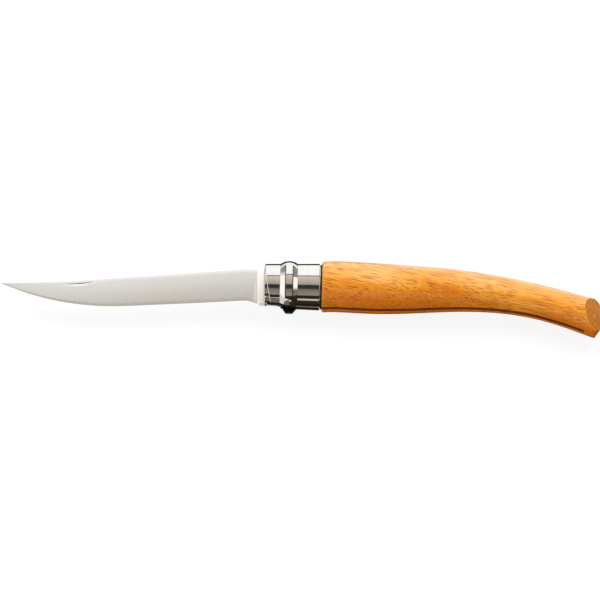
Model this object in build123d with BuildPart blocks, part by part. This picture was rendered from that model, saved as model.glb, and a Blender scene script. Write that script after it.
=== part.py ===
"""Slim folding fillet knife: blade, wooden handle, fixed ferrule, turning locking ring and pivot rivet.

Millimetres. The knife lies on its side with the blade open. +X runs along the collar towards the butt,
+Y towards the blade's spine and +Z up, away from the surface it lies on. The origin is the centre of the
knife's outline, on that surface. All sizes below are measured from the pivot, on the collar's axis.
"""

import os
from math import atan2, cos, radians, sin, tan

from build123d import *

# Collar: a slightly tapered tube round the pivot, thinner towards the blade
ferrule_front = 11.6
ferrule_back = 14.6
ferrule_radius = 9.37
ferrule_wall = 0.7
collar_taper = 1.3
ferrule_slot_width = 3.6
running_gap = 0.1
snug_gap = 0.02

# Locking ring
ring_front = 11.4
ring_back = 13.5
ring_wall = 0.8
bead_base_width = 7.7
bead_top_width = 2.8
bead_height = 1.34
bead_rounding = 1.2
slot_near_angle = 13.0
slot_far_angle = 27.0
ramp_middle = 9.65
ramp_tilt = 9.9
ramp_turn = 45.0
notch_angle = 54.0
notch_back = 4.0
notch_rounding = 2.4
lug_height = 0.9
lug_top_width = 3.6
lug_shift = 5.0
lug_arc = 44.0

# Pivot rivet
rivet_radius = 2.0
head_radius = 2.5
head_edge_height = 0.2
head_height = 1.05
pivot_gap = 0.05

# Blade
blade_thickness = 2.0
blade_reach = 119.4
plunge_back = 15.3
spine_height = 7.8
belly_depth = 12.45
kick_depth = 10.15
kick_back = 9.8
kick_rounding = 1.5
tang_heel_radius = 7.3
tang_belly_height = 6.9
bevel_height = 0.5
bevel_thickness = 0.26

# Evenly spaced rows, first from the plunge line to the heel's end, then from there to the point: spine
# height, edge depth, spine thickness and bevel size, as shares of spine_height, belly_depth,
# blade_thickness and the bevel's own two sizes
heel_length = 5.4
heel_rows_share = [
    (1.000, 0.809, 0.97, 1.0),
    (1.004, 0.735, 0.97, 1.0),
    (1.008, 0.674, 0.96, 1.0),
    (1.010, 0.645, 0.96, 1.0),
    (1.005, 0.637, 0.95, 1.0),
]
blade_rows_share = [
    (1.005, 0.637, 0.95, 1.0),
    (0.860, 0.712, 0.92, 1.0),
    (0.712, 0.786, 0.88, 1.0),
    (0.564, 0.855, 0.83, 1.0),
    (0.420, 0.922, 0.78, 1.0),
    (0.280, 0.983, 0.72, 1.0),
    (0.135, 0.997, 0.66, 1.0),
    (-0.003, 0.924, 0.59, 1.0),
    (-0.100, 0.763, 0.50, 1.0),
    (-0.165, 0.502, 0.37, 0.9),
    (-0.225, 0.152, 0.06, 0.1),
]

# Nail nick, a groove left by the rim of a large wheel
nick_place_share = 0.676
nick_length = 13.6
nick_depth = 0.4
nick_height = 1.5
nick_drop = 0.75
nick_slope = 6.6

# Turn of the blade from open to folded into the handle
fold_angle = 173.0

# Handle
handle_length = 126.9
shoulder_radius = 11.6
shoulder_rounding = 1.1
handle_bend = 14.1
butt_rounding = 2.9
butt_slant = 0.83
ridge_depth = 0.3
tenon_setback = 0.4
blade_slot_width = 2.5
slot_tail = 5.16
slot_clearance = 0.6

# Evenly spaced rows from the shoulder to the butt: drop of the middle line, half height and half
# thickness, as shares of handle_bend and of shoulder_radius (twice)
handle_rows_share = [
    (0.003, 0.991, 0.991),
    (-0.007, 1.002, 1.002),
    (0.014, 0.961, 0.961),
    (0.005, 0.872, 0.872),
    (0.063, 0.773, 0.763),
    (0.243, 0.713, 0.678),
    (0.575, 0.722, 0.685),
    (1.000, 0.787, 0.746),
]

# Overrun for cuts that go right through
overrun = 5.0

# Places worked out from the sizes above
point_reach = ferrule_front + blade_reach
butt_reach = ferrule_back + handle_length - ridge_depth
taper_rise = tan(radians(collar_taper))
ring_inner_radius = ferrule_radius + running_gap
ring_radius = ring_inner_radius + ring_wall
bead_radius = ring_radius + bead_height
lug_radius = bead_radius + lug_height
half_blade = blade_thickness / 2
heel_end = plunge_back + heel_length
tenon_radius = ferrule_radius - ferrule_wall - snug_gap
highest_point = handle_rows_share[1][1] * shoulder_radius - handle_rows_share[1][0] * handle_bend
chin_drop = handle_bend + handle_rows_share[-1][1] * shoulder_radius - butt_rounding / 2
pivot = Vector(
    (point_reach - butt_reach) / 2,
    (chin_drop - highest_point) / 2,
    handle_rows_share[1][2] * shoulder_radius,
)

# Planes and axes through the pivot
side_plane = Plane(origin=pivot, x_dir=(1, 0, 0), z_dir=(0, 0, 1))
rivet_plane = Plane(origin=pivot, x_dir=(1, 0, 0), z_dir=(0, -1, 0))
collar_axis = Axis(pivot, (1, 0, 0))
pivot_axis = Axis(pivot, (0, 0, 1))


def section_plane(along, height=0.0):
    """Plane square to the collar's axis: its x is the knife's Y and its y is the knife's Z."""
    return Plane(origin=pivot + Vector(along, height, 0), x_dir=(0, 1, 0), z_dir=(1, 0, 0))


def cone_radius(radius, along):
    """Radius of a collar surface at a place along the axis, from its radius over the pivot."""
    return radius + along * taper_rise


def tube_profile(front, back, inner, outer):
    """Closed outline of a tapered tube's wall, for turning round the collar's axis."""
    Polyline(
        (-front, cone_radius(inner, -front)),
        (-front, cone_radius(outer, -front)),
        (back, cone_radius(outer, back)),
        (back, cone_radius(inner, back)),
        close=True,
    )


def spaced(rows, start, end):
    """Pairs of a place and its row, evenly spaced from start to end."""
    step = (end - start) / (len(rows) - 1)
    return [(start + step * index, row) for index, row in enumerate(rows)]


def row_at(rows, place_share):
    """Row at a share of the way along evenly spaced rows, straight between its two neighbours."""
    index = int(place_share * (len(rows) - 1))
    rest = place_share * (len(rows) - 1) - index
    return [low + (high - low) * rest for low, high in zip(rows[index], rows[index + 1])]


def blade_section(along, row):
    """One five-cornered section of the ground blade, from its place and its row of shares."""
    spine_share, edge_share, thickness_share, bevel_share = row
    spine = spine_share * spine_height
    edge = -edge_share * belly_depth
    half_spine = thickness_share * half_blade
    shoulder = edge + bevel_share * bevel_height
    half_shoulder = bevel_share * bevel_thickness / 2
    with BuildSketch(section_plane(along)) as section:
        with BuildLine():
            Polyline(
                (spine, half_spine),
                (shoulder, half_shoulder),
                (edge, 0),
                (shoulder, -half_shoulder),
                (spine, -half_spine),
                close=True,
            )
        make_face()
    return section.sketch


def handle_section(along, row):
    """One oval section of the handle, with its seam at the side, clear of the slot and the butt's ridge."""
    drop_share, height_share, thickness_share = row
    with BuildSketch(section_plane(along, -drop_share * handle_bend)) as section:
        Ellipse(thickness_share * shoulder_radius, height_share * shoulder_radius, rotation=90)
    return section.sketch


def bead_outline(top_width, top_radius, depth=0.0):
    """Corners of a bead's section, or of a line at an even depth below it, from one foot to the other."""
    flank = atan2(top_radius - ring_radius, (bead_base_width - top_width) / 2)
    inset = depth * tan(flank / 2)
    foot = bead_base_width / 2 - inset
    top = top_width / 2 - inset
    return [
        (-foot, ring_radius - depth),
        (-top, top_radius - depth),
        (top, top_radius - depth),
        (foot, ring_radius - depth),
    ]


def folded(along, height):
    """Place of a point of the open blade once the blade is folded."""
    point = Vector(along, height, 0).rotate(Axis.Z, fold_angle)
    return point.X, point.Y


def direction_below(angle):
    """Unit direction in a section plane, turned from straight down towards the upper side."""
    return -cos(radians(angle)), sin(radians(angle))


# Blade: tang plate with the heel tab, two lofts for the ground length, pivot bore and nail nick
with BuildPart() as blade:
    with BuildSketch(side_plane.offset(-half_blade)):
        with BuildLine():
            ThreePointArc(
                (0, spine_height),
                (tang_heel_radius, (spine_height - tang_belly_height) / 2),
                (0, -tang_belly_height),
            )
            Polyline(
                (0, -tang_belly_height),
                (-kick_back, -tang_belly_height),
                (-kick_back, -kick_depth + kick_rounding),
            )
            RadiusArc(
                (-kick_back, -kick_depth + kick_rounding),
                (-kick_back - kick_rounding, -kick_depth),
                kick_rounding,
            )
            Polyline(
                (-kick_back - kick_rounding, -kick_depth),
                (-plunge_back, -kick_depth),
                (-plunge_back, spine_height),
                (0, spine_height),
            )
        make_face()
    extrude(amount=blade_thickness)
    heel_rows = spaced(heel_rows_share, -plunge_back, -heel_end)
    loft([blade_section(along, row) for along, row in heel_rows])
    blade_rows = spaced(blade_rows_share, -heel_end, -point_reach)
    loft([blade_section(along, row) for along, row in blade_rows])
    with BuildSketch(side_plane):
        Circle(rivet_radius + pivot_gap)
    extrude(amount=blade_thickness, both=True, mode=Mode.SUBTRACT)
    nick_wheel_radius = (nick_length ** 2 / 4 + nick_depth ** 2) / (2 * nick_depth)
    nick_row = row_at(blade_rows_share, nick_place_share)
    nick_place = pivot + Vector(
        -heel_end - nick_place_share * (point_reach - heel_end),
        nick_row[0] * spine_height - nick_drop,
        nick_row[2] * half_blade + nick_wheel_radius - nick_depth,
    )
    nick_direction = Vector(0, 1, 0).rotate(Axis.Z, nick_slope)
    with Locations(Plane(origin=nick_place, x_dir=(0, 0, 1), z_dir=nick_direction)):
        Cone(
            bottom_radius=nick_wheel_radius - nick_depth,
            top_radius=nick_wheel_radius,
            height=nick_height,
            align=(Align.CENTER, Align.CENTER, Align.MAX),
            mode=Mode.SUBTRACT,
        )

# Handle: bent round grip, rounded ends, tenon, blade slot, rivet bore and slanting butt faces
with BuildPart() as handle:
    handle_rows = spaced(handle_rows_share, ferrule_back, ferrule_back + handle_length)
    loft([handle_section(along, row) for along, row in handle_rows])
    fillet(handle.faces().sort_by(Axis.X)[-1].edges(), radius=butt_rounding)
    fillet(handle.faces().sort_by(Axis.X)[0].edges(), radius=shoulder_rounding)
    with BuildSketch(side_plane):
        with BuildLine():
            tenon_front = -ferrule_front + tenon_setback
            tenon_end = ferrule_back + shoulder_rounding
            Polyline(
                (tenon_front, 0),
                (tenon_front, cone_radius(tenon_radius, tenon_front)),
                (tenon_end, cone_radius(tenon_radius, tenon_end)),
                (tenon_end, 0),
                close=True,
            )
        make_face()
    revolve(axis=collar_axis)
    with BuildSketch(side_plane):
        with BuildLine():
            slot_front = -ferrule_front - overrun
            slot_bottom = -chin_drop - overrun
            kick_corner = folded(-plunge_back, -kick_depth)
            roof_points = [
                Vector(*folded(along, -row[1] * belly_depth)) + Vector(0, 2 * slot_clearance)
                for along, row in blade_rows[2:-1:3]
            ]
            point = folded(-point_reach, blade_rows_share[-1][0] * spine_height)
            roof_start = (
                Vector(plunge_back, kick_depth, 0).length + slot_clearance,
                kick_corner[1] + slot_clearance,
            )
            roof_end = (point[0] + 2 * slot_clearance, point[1] + 2 * slot_clearance)
            slot_end = (roof_end[0] + slot_tail, slot_bottom)
            Polyline(
                slot_end,
                (slot_front, slot_bottom),
                (slot_front, tenon_radius + overrun),
                (ferrule_back, tenon_radius + overrun),
                (ferrule_back, roof_start[1]),
                roof_start,
            )
            Spline(roof_start, *roof_points, roof_end)
            Line(roof_end, slot_end)
        make_face()
    extrude(amount=blade_slot_width / 2, both=True, mode=Mode.SUBTRACT)
    with BuildSketch(side_plane):
        Circle(rivet_radius + snug_gap)
    extrude(amount=shoulder_radius, both=True, mode=Mode.SUBTRACT)
    with BuildSketch(rivet_plane.offset(-shoulder_radius)):
        with BuildLine():
            slant_run = butt_slant * shoulder_radius
            Polyline(
                (butt_reach, 0),
                (butt_reach - slant_run, shoulder_radius),
                (butt_reach + overrun, shoulder_radius),
                (butt_reach + overrun, -shoulder_radius),
                (butt_reach - slant_run, -shoulder_radius),
                close=True,
            )
        make_face()
    extrude(amount=chin_drop + 2 * shoulder_radius, mode=Mode.SUBTRACT)

# Fixed ferrule: tapered tube with its slot below and a bore across for the rivet
with BuildPart() as fixed_ferrule:
    with BuildSketch(side_plane):
        with BuildLine():
            tube_profile(ferrule_front, ferrule_back, ferrule_radius - ferrule_wall, ferrule_radius)
        make_face()
    revolve(axis=collar_axis)
    with BuildSketch(section_plane(-ferrule_front - overrun)):
        Rectangle(ferrule_radius + overrun, ferrule_slot_width, align=(Align.MAX, Align.CENTER))
    extrude(amount=ferrule_front + ferrule_back + 2 * overrun, mode=Mode.SUBTRACT)
    with BuildSketch(side_plane):
        Circle(rivet_radius + snug_gap)
    extrude(amount=ferrule_radius + overrun, both=True, mode=Mode.SUBTRACT)

# Locking ring: tapered tube with a hollow bead, its thumb lug, its slot, slanting front and notch
with BuildPart() as locking_ring:
    with BuildSketch(side_plane):
        with BuildLine():
            Polyline(
                (-ring_front, cone_radius(ring_radius, -ring_front)),
                *bead_outline(bead_top_width, bead_radius),
                (ring_back, cone_radius(ring_radius, ring_back)),
                (ring_back, cone_radius(ring_inner_radius, ring_back)),
                *reversed(bead_outline(bead_top_width, bead_radius, ring_wall)),
                (-ring_front, cone_radius(ring_inner_radius, -ring_front)),
                close=True,
            )
        make_face()
        bends = vertices().filter_by_position(Axis.X, -bead_base_width, bead_base_width)
        fillet(bends, radius=bead_rounding)
    revolve(axis=collar_axis)
    lug_y, lug_z = direction_below(-slot_far_angle)
    lug_plane = Plane(origin=pivot, x_dir=(1, 0, 0), z_dir=(0, -lug_z, lug_y))
    lug_axis = Axis(pivot + Vector(0, lug_y, lug_z) * lug_shift, (1, 0, 0))
    with BuildSketch(lug_plane):
        with BuildLine():
            Polyline(*bead_outline(lug_top_width, lug_radius), close=True)
        make_face()
    revolve(axis=lug_axis, revolution_arc=lug_arc)
    with BuildSketch(lug_plane):
        with BuildLine():
            Polyline(*bead_outline(lug_top_width, lug_radius, ring_wall), close=True)
        make_face()
    revolve(axis=lug_axis, revolution_arc=lug_arc, mode=Mode.SUBTRACT)
    with BuildSketch(section_plane(-ring_front - overrun)):
        with BuildLine():
            slot_middle = (slot_near_angle - slot_far_angle) / 2
            reach = 2 * lug_radius
            Polyline(
                (0, 0),
                Vector(*direction_below(slot_near_angle)) * reach,
                Vector(*direction_below(slot_middle)) * reach,
                Vector(*direction_below(-slot_far_angle)) * reach,
                close=True,
            )
        make_face()
    extrude(amount=ring_front + ring_back + 2 * overrun, mode=Mode.SUBTRACT)
    ramp_y, ramp_z = direction_below(-ramp_turn)
    ramp_rise = tan(radians(ramp_tilt))
    ramp_plane = Plane(
        origin=pivot - Vector(ramp_middle, 0, 0),
        z_dir=Vector(-1, ramp_y * ramp_rise, ramp_z * ramp_rise),
    )
    with BuildSketch(ramp_plane):
        Circle(2 * ring_radius)
    extrude(amount=ring_front, mode=Mode.SUBTRACT)
    notch_middle = (slot_middle - notch_angle) / 2
    notch_half_angle = (slot_middle + notch_angle) / 2
    notch_y, notch_z = direction_below(notch_middle)
    notch_plane = Plane(origin=pivot, x_dir=(1, 0, 0), z_dir=(0, notch_y, notch_z))
    with BuildSketch(notch_plane):
        notch_width = 2 * ring_radius * sin(radians(notch_half_angle))
        with Locations((-notch_back, 0)):
            RectangleRounded(ring_front, notch_width, notch_rounding, align=(Align.MAX, Align.CENTER))
    extrude(amount=2 * ring_radius, mode=Mode.SUBTRACT)

# Pivot rivet: shaft with a domed head at each end
with BuildPart() as pivot_rivet:
    with BuildSketch(rivet_plane):
        with BuildLine():
            head_seat = cone_radius(ferrule_radius, head_radius) + snug_gap
            Polyline(
                (0, 0),
                (rivet_radius, 0),
                (rivet_radius, head_seat),
                (head_radius, head_seat),
                (head_radius, head_seat + head_edge_height),
            )
            TangentArc(
                (0, head_seat + head_height),
                (head_radius, head_seat + head_edge_height),
                tangent=(1, 0),
            )
            Line((0, head_seat + head_height), (0, 0))
        make_face()
        mirror(about=Plane.XZ)
    revolve(axis=pivot_axis)

# Names and files
os.makedirs("parts", exist_ok=True)
blade.part.label = "blade"
handle.part.label = "handle"
fixed_ferrule.part.label = "fixed_ferrule"
locking_ring.part.label = "locking_ring"
pivot_rivet.part.label = "pivot_rivet"
export_step(blade.part, "parts/blade.step")
export_step(handle.part, "parts/handle.step")
export_step(fixed_ferrule.part, "parts/fixed_ferrule.step")
export_step(locking_ring.part, "parts/locking_ring.step")
export_step(pivot_rivet.part, "parts/pivot_rivet.step")
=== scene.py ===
"""Looks of the slim folding fillet knife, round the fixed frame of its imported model.

The knife lies on its side with the blade open. +X runs along the collar towards the butt, +Y towards the
blade's spine, +Z up. Places are measured from the pivot on the collar's axis, as in the part's source.
"""

from math import asin, cos, degrees, hypot, pi, radians, sin, sqrt, tan

import bmesh
import bpy
import numpy as np
from mathutils import Matrix, Vector


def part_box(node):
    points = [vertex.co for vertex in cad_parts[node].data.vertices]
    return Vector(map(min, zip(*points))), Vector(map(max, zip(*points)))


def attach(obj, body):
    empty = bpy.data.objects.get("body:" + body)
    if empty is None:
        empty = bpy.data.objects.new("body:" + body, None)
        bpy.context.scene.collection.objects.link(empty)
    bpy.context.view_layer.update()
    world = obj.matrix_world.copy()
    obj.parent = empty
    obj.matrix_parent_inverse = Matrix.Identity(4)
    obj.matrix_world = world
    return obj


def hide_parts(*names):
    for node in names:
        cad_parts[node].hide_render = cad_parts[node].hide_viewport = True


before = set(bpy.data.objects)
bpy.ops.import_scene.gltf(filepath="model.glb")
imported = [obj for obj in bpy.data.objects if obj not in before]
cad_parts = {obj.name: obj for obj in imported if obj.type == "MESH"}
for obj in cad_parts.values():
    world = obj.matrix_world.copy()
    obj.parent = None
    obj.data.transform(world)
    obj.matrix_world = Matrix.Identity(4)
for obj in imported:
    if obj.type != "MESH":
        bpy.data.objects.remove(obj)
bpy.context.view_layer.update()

bl_info = {
    "name": "Folding fillet knife",
    "version": (1, 0, 0),
    "blender": (4, 5, 0),
    "location": "View3D > Sidebar > Fillet Knife",
    "description": "Builds the detailed pieces, materials and stage of a folding fillet knife",
    "category": "Add Mesh",
}

MM = 0.001

# The frame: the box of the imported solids, and the pivot in the middle of its rivet
pivot = (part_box("pivot_rivet")[0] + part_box("pivot_rivet")[1]) / 2

# Meshes: points this near are merged, edges this short go, and edges sharper than this in degrees stay sharp
merge_distance = 0.002 * MM
least_edge = 0.001 * MM
sharp_angle = 32.0

# Collar, in metres from the pivot
ferrule_front = pivot.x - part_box("fixed_ferrule")[0].x
ferrule_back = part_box("fixed_ferrule")[1].x - pivot.x
ferrule_radius = 9.37 * MM
ferrule_wall = 0.7 * MM
ferrule_slot_width = 3.6 * MM
# The back rim: a near-black tube in the gap between the ring and the wood, as painted shadow
rim_front = 13.95 * MM
rim_radius = 9.85 * MM
collar_taper = tan(radians(1.3))
ferrule_steps = 27
rim_steps = 3
tube_steps_around = 181
rim_edge_share = 0.25

# Locking ring
ring_front = 11.4 * MM
ring_back = 13.7 * MM
ring_inner_radius = 9.47 * MM
ring_wall = 0.8 * MM
ring_radius = ring_inner_radius + ring_wall
bead_middle = -0.4 * MM
bead_half_width = 4.0 * MM
bead_radius = 11.61 * MM
bead_fillet = 0.06 * MM
edge_margin = 0.6 * MM
lug_top_width = 3.0 * MM
lug_radius = 12.51 * MM
lug_shift = 5.0 * MM
ring_slot_start = 13.0
ring_slot_end = -27.0
lug_reach = 26.6
ramp_middle = 9.65 * MM
ramp_rise = tan(radians(9.9))
ramp_turn = -45.0
notch_middle = -30.5
notch_half_width = 4.1 * MM
notch_back = 4.0 * MM
notch_rounding = 2.4 * MM
notch_corner = 0.05
bead_steps = 45
sheet_end_steps = 6
ring_steps = 150
ring_steps_past_notch = 40

# Pivot rivet
rivet_radius = 2.0 * MM
rivet_bore_radius = 2.05 * MM
rivet_head_radius = 2.5 * MM
rivet_head_edge = 0.2 * MM
rivet_dome_height = 0.85 * MM
rivet_seat = 9.447 * MM
rivet_sides = 64

# Blade
blade_reach = pivot.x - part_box("blade")[0].x
half_blade = 1.0 * MM
plunge_back = 15.3 * MM
heel_end = 20.7 * MM
plunge_run = 0.8 * MM
plunge_lean = 0.09
plunge_fade = 3.9 * MM
spine_height = 7.8 * MM
belly_depth = 12.45 * MM
kick_depth = 10.15 * MM
kick_back = 9.8 * MM
kick_rounding = 1.5 * MM
tang_radius = 7.35 * MM
tang_belly_height = 6.9 * MM
bevel_height = 0.5 * MM
bevel_half_thickness = 0.13 * MM
edge_half_thickness = 0.01 * MM
edge_slope = -0.15
most_rounding = 0.4
bore_depth = 8.0 * MM

# Sections of the blade's mesh, crowded in the share of its length before the point
side_rows = 12
point_sections = 20
point_share = 0.06
point_crowding = 1.5
blade_sections = 100
heel_start_share = 0.95
heel_sections = 14
plunge_sections = 9
kick_sections = 5
spine_steps = 3
kick_steps = 6
tang_steps = 12

# Spine height, edge depth, spine thickness and bevel size as shares, in evenly spaced rows
heel_rows_share = [
    (1.000, 0.809, 0.97, 1.0),
    (1.004, 0.735, 0.97, 1.0),
    (1.008, 0.674, 0.96, 1.0),
    (1.010, 0.645, 0.96, 1.0),
    (1.005, 0.637, 0.95, 1.0),
]
blade_rows_share = [
    (1.005, 0.637, 0.95, 1.0),
    (0.860, 0.712, 0.92, 1.0),
    (0.712, 0.786, 0.88, 1.0),
    (0.564, 0.855, 0.83, 1.0),
    (0.420, 0.922, 0.78, 1.0),
    (0.280, 0.983, 0.72, 1.0),
    (0.135, 0.997, 0.66, 1.0),
    (-0.003, 0.924, 0.59, 1.0),
    (-0.100, 0.763, 0.50, 1.0),
    (-0.165, 0.502, 0.37, 0.9),
    (-0.225, 0.152, 0.06, 0.1),
]

# Nail nick, ground by the rim of a large wheel
nick_place_share = 0.681
nick_length = 15.0 * MM
nick_depth = 0.45 * MM
nick_height = 1.7 * MM
nick_drop = 1.15 * MM
nick_slope = 6.6
nick_sides = 720
bore_sides = 64

# Handle
handle_end = 141.5 * MM
butt_ridge = 141.2 * MM
butt_slant = 0.83
chin_height = -19.08 * MM
butt_rounding = 2.9 * MM
shoulder_radius = 11.6 * MM
shoulder_rounding = 1.1 * MM
handle_bend = 14.1 * MM
tenon_front = 11.2 * MM
tenon_radius = 8.65 * MM
slot_half_width = 1.25 * MM
slot_lit_depth = 0.55 * MM
wall_margin = 0.01 * MM
wall_shares = (1 / 3, 2 / 3, 1.0)
butt_face_margin = 0.02
butt_face_tilt = 0.05

# Sections of the handle's mesh, and points round each of them
shoulder_sections = 8
slot_sections = 92
slot_end_sections = 22
butt_sections = 5
butt_end_sections = 12
grip_points = 97
lip_points = 4
tenon_sections = 6
cheek_points = 33

# Drop of the middle line, half height and half thickness as shares, in evenly spaced rows
handle_rows_share = [
    (0.003, 0.991, 0.991),
    (-0.007, 1.002, 1.002),
    (0.014, 0.961, 0.961),
    (0.005, 0.872, 0.872),
    (0.063, 0.773, 0.763),
    (0.243, 0.713, 0.678),
    (0.575, 0.722, 0.685),
    (1.000, 0.787, 0.746),
]

# Roof of the blade slot: distance from the pivot and height, in millimetres, and its steep fall at the end
slot_roof_points = [(18.96, 8.81), (43.6, 5.7), (76.8, 4.1), (109.3, -2.65), (131.44, -13.02)]
slot_roof_curve = np.polyfit(*zip(*slot_roof_points), len(slot_roof_points) - 1)
slot_tail_fall = 2.69
slot_end_run = 2.5 * MM

# Finishes: places of a piece's further finishes in its list of materials
nick_finish, edge_finish = 1, 2
# The slot's and the tenon's finishes are dark bare wood as painted shade
butt_finish, slot_shade_finish, tenon_shade_finish = 1, 2, 3
sheared_finish = 1

# Finishes: cells of each pattern to a metre, along X, Y and Z
grinding_lines = (5200, 40, 40)
grinding_clouds = (320, 12, 12)
turning_marks = (2600, 120, 120)
scuff_cells = 420.0
wood_bands = (30, 260, 260)
wood_fibres = (110, 2400, 2400)
wood_patches = (24, 70, 70)
long_flecks = (62, 1650, 1650)
short_flecks = (115, 2300, 2300)
end_rays = (1300, 260, 1300)
saw_marks = (90, 1800, 1800)

# Finishes of the steel: shares and places in its tone, roughness added by marks, and their depth
line_share = 0.7
line_stops = (0.35, 0.65)
# Places of the blade's painted shade, from the cutting edge towards the spine
painted_shade_stops = (0.0, 0.9)
scuff_stops = (0.3, 0.7)
scuff_shade = 0.93
sheared_roughness = 6.0
line_roughness = 0.12
scuff_roughness = 0.06
steel_mark_strength = 0.03
steel_mark_depth = 0.02 * MM
plunge_blend = 0.3 * MM

# Finishes of the wood: weights and places in its tone, turns in degrees, depth, roughness and gloss
# Half height of the grip and power of its bend, which set the wood's painted light and shade
grip_half_height = 10.0 * MM
bend_power = 4.0
band_weight = 0.8
fibre_weight = 0.9
patch_weight = 0.7
wood_stops = (0.0, 0.14, 0.38, 0.85)
shaded_deep_share = 0.4
fleck_stops = (0.22, 0.40)
picked_stops = (0.10, 0.45)
ray_stops = (0.34, 0.5, 0.64)
ray_shades = (0.60, 1.0, 1.35)
saw_stops = (0.3, 0.7)
saw_shade = 0.6
fleck_turn = -1.5
short_fleck_share = 0.75
ray_turn = 28.0
wood_mark_depth = 0.05 * MM
fibre_strength = 0.08
ray_strength = 0.05
saw_strength = 0.2
wood_roughness = 0.42
fibre_roughness = 0.15
end_roughness = 0.5
sawn_roughness = 0.75
wood_gloss = 0.1
lacquer_index = 1.6
end_lacquer_share = 1 / 3

# Stage: lamps and floor
white = (1.0, 1.0, 1.0)
black = (0.0, 0.0, 0.0)
picture_lean = radians(30.0)
ambient_light = 0.28
key_place = (0.0, 0.45, 0.75)
key_size = (1.2, 0.7)
key_power = 9.5
fill_place = (-0.3, -0.7, 0.6)
fill_size = (0.8, 0.6)
fill_power = 3.6
floor_reach = 3.0
floor_lift = 0.86
floor_shade = 0.16

# What the steel reflects: bands of light and dark by degrees from straight up towards the front, on faces
# square to the collar and on those that lean to its two sides, and lines of flags by the faces' lean
white_box = (1.15, 1.14, 1.12)
front_bands = [
    (-180, (0.02, 0.02, 0.02)), (-116, (0.02, 0.02, 0.02)), (-112, white_box), (-31, white_box),
    (-29, (0.20, 0.18, 0.16)), (-26, (0.20, 0.18, 0.16)), (-23, (0.74, 0.66, 0.55)),
    (18, (0.44, 0.37, 0.30)), (21, (0.035, 0.037, 0.042)), (38, (0.035, 0.037, 0.042)),
    (42, (0.18, 0.16, 0.14)), (52, (0.25, 0.22, 0.18)), (72, (0.30, 0.27, 0.22)),
    (76, (0.015, 0.015, 0.012)), (88, (0.02, 0.02, 0.02)), (96, (0.15, 0.13, 0.11)),
]
left_bands = [
    (-180, (0.10, 0.095, 0.09)), (-84, (0.28, 0.25, 0.23)), (-50, (0.36, 0.33, 0.31)),
    (-18, white_box), (180, white_box),
]
right_bands = [
    (-180, (0.22, 0.15, 0.10)), (-60, (0.36, 0.32, 0.28)), (-20, (0.33, 0.29, 0.26)), (-13, white_box),
    (33, white_box), (46, (0.26, 0.23, 0.22)), (56, (0.16, 0.12, 0.10)), (66, (0.30, 0.24, 0.18)),
    (76, (0.09, 0.035, 0.02)), (100, (0.03, 0.02, 0.015)),
]
side_lines = [
    (-0.30, 1.0), (-0.28, 0.15), (-0.24, 0.15), (-0.20, 1.0),
    (0.20, 1.0), (0.24, 0.15), (0.28, 0.15), (0.30, 1.0),
]
side_start = 0.26
side_fade = 0.01

# The floor in what steel and lacquer reflect: bands by distance behind the pivot, in metres
floor_span = 0.6
floor_dark = (0.02, 0.02, 0.02)
floor_by_blade = (0.80, 0.79, 0.77)
under_collar = (0.45, 0.43, 0.42)
right_floor = [
    (-0.30, (0.06, 0.05, 0.04)), (-0.26, (0.70, 0.63, 0.52)), (-0.086, (0.70, 0.63, 0.52)),
    (-0.076, (0.04, 0.03, 0.03)), (-0.018, floor_dark), (-0.014, under_collar), (0.004, under_collar),
    (0.008, floor_dark), (0.060, floor_dark), (0.068, white_box),
]
left_floor = [
    (-0.30, (0.18, 0.15, 0.12)), (-0.034, (0.18, 0.15, 0.12)), (-0.026, floor_dark),
    (0.060, floor_dark), (0.068, white_box),
]
wood_floor = [
    (-0.30, (0.03, 0.02, 0.01)), (0.0, (0.03, 0.02, 0.01)), (0.004, (0.30, 0.20, 0.13)), (0.028, white_box),
]
flank_floor = [(0.0, (0.30, 0.27, 0.24)), (0.070, (0.30, 0.27, 0.24)), (0.080, white_box)]

# Where those parts of the floor start, from the pivot, and over what widths each fades into the next
right_half = (1.5 * MM, 1.5 * MM)
blade_side = (-2.2 * MM, 1.0 * MM)
blade_side_spread = 0.45
blade_side_reach = 28.0 * MM
wood_side = (14.0 * MM, 1.0 * MM)
wood_side_spread = 0.12
flank_start = (14.0 * MM, 2.0 * MM)
flank_end = (45.0 * MM, 5.0 * MM)
back_half = (0.0, 1.0 * MM)


def from_pivot(x, y, z):
    """A place in the row frame, from its distances to the pivot."""
    return pivot + Vector((x, y, z))


def cubic_rows(rows, places):
    """Rows read at places from 0 to 1, on natural cubic curves through the evenly spaced rows."""
    knots = np.array(rows)
    last = len(knots) - 1
    bending = np.zeros_like(knots)
    beside = np.diag(np.ones(last - 2), 1)
    matrix = 4 * np.eye(last - 1) + beside + beside.T
    bending[1:-1] = np.linalg.solve(matrix, 6 * (knots[2:] - 2 * knots[1:-1] + knots[:-2]))
    read = []
    for place in places:
        index = min(int(place * last), last - 1)
        after = place * last - index
        before = 1 - after
        straight = before * knots[index] + after * knots[index + 1]
        bent = (before ** 3 - before) * bending[index] + (after ** 3 - after) * bending[index + 1]
        read.append(tuple(straight + bent / 6))
    return read


def curve_rows(rows, places):
    """Rows read at places from 0 to 1, on one smooth curve through all the evenly spaced rows."""
    curves = [np.polyfit(evenly(0.0, 1.0, len(rows)), shares, len(rows) - 1) for shares in zip(*rows)]
    return [tuple(np.polyval(curve, place) for curve in curves) for place in places]


def evenly(start, end, count):
    """Numbers evenly spaced from start to end, both included."""
    return [start + (end - start) * index / (count - 1) for index in range(count)]


def quarter_turn(count):
    """Turns in radians, evenly spaced up to a quarter turn, without their start at zero."""
    return [index * pi / (2 * count) for index in range(1, count + 1)]


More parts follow.
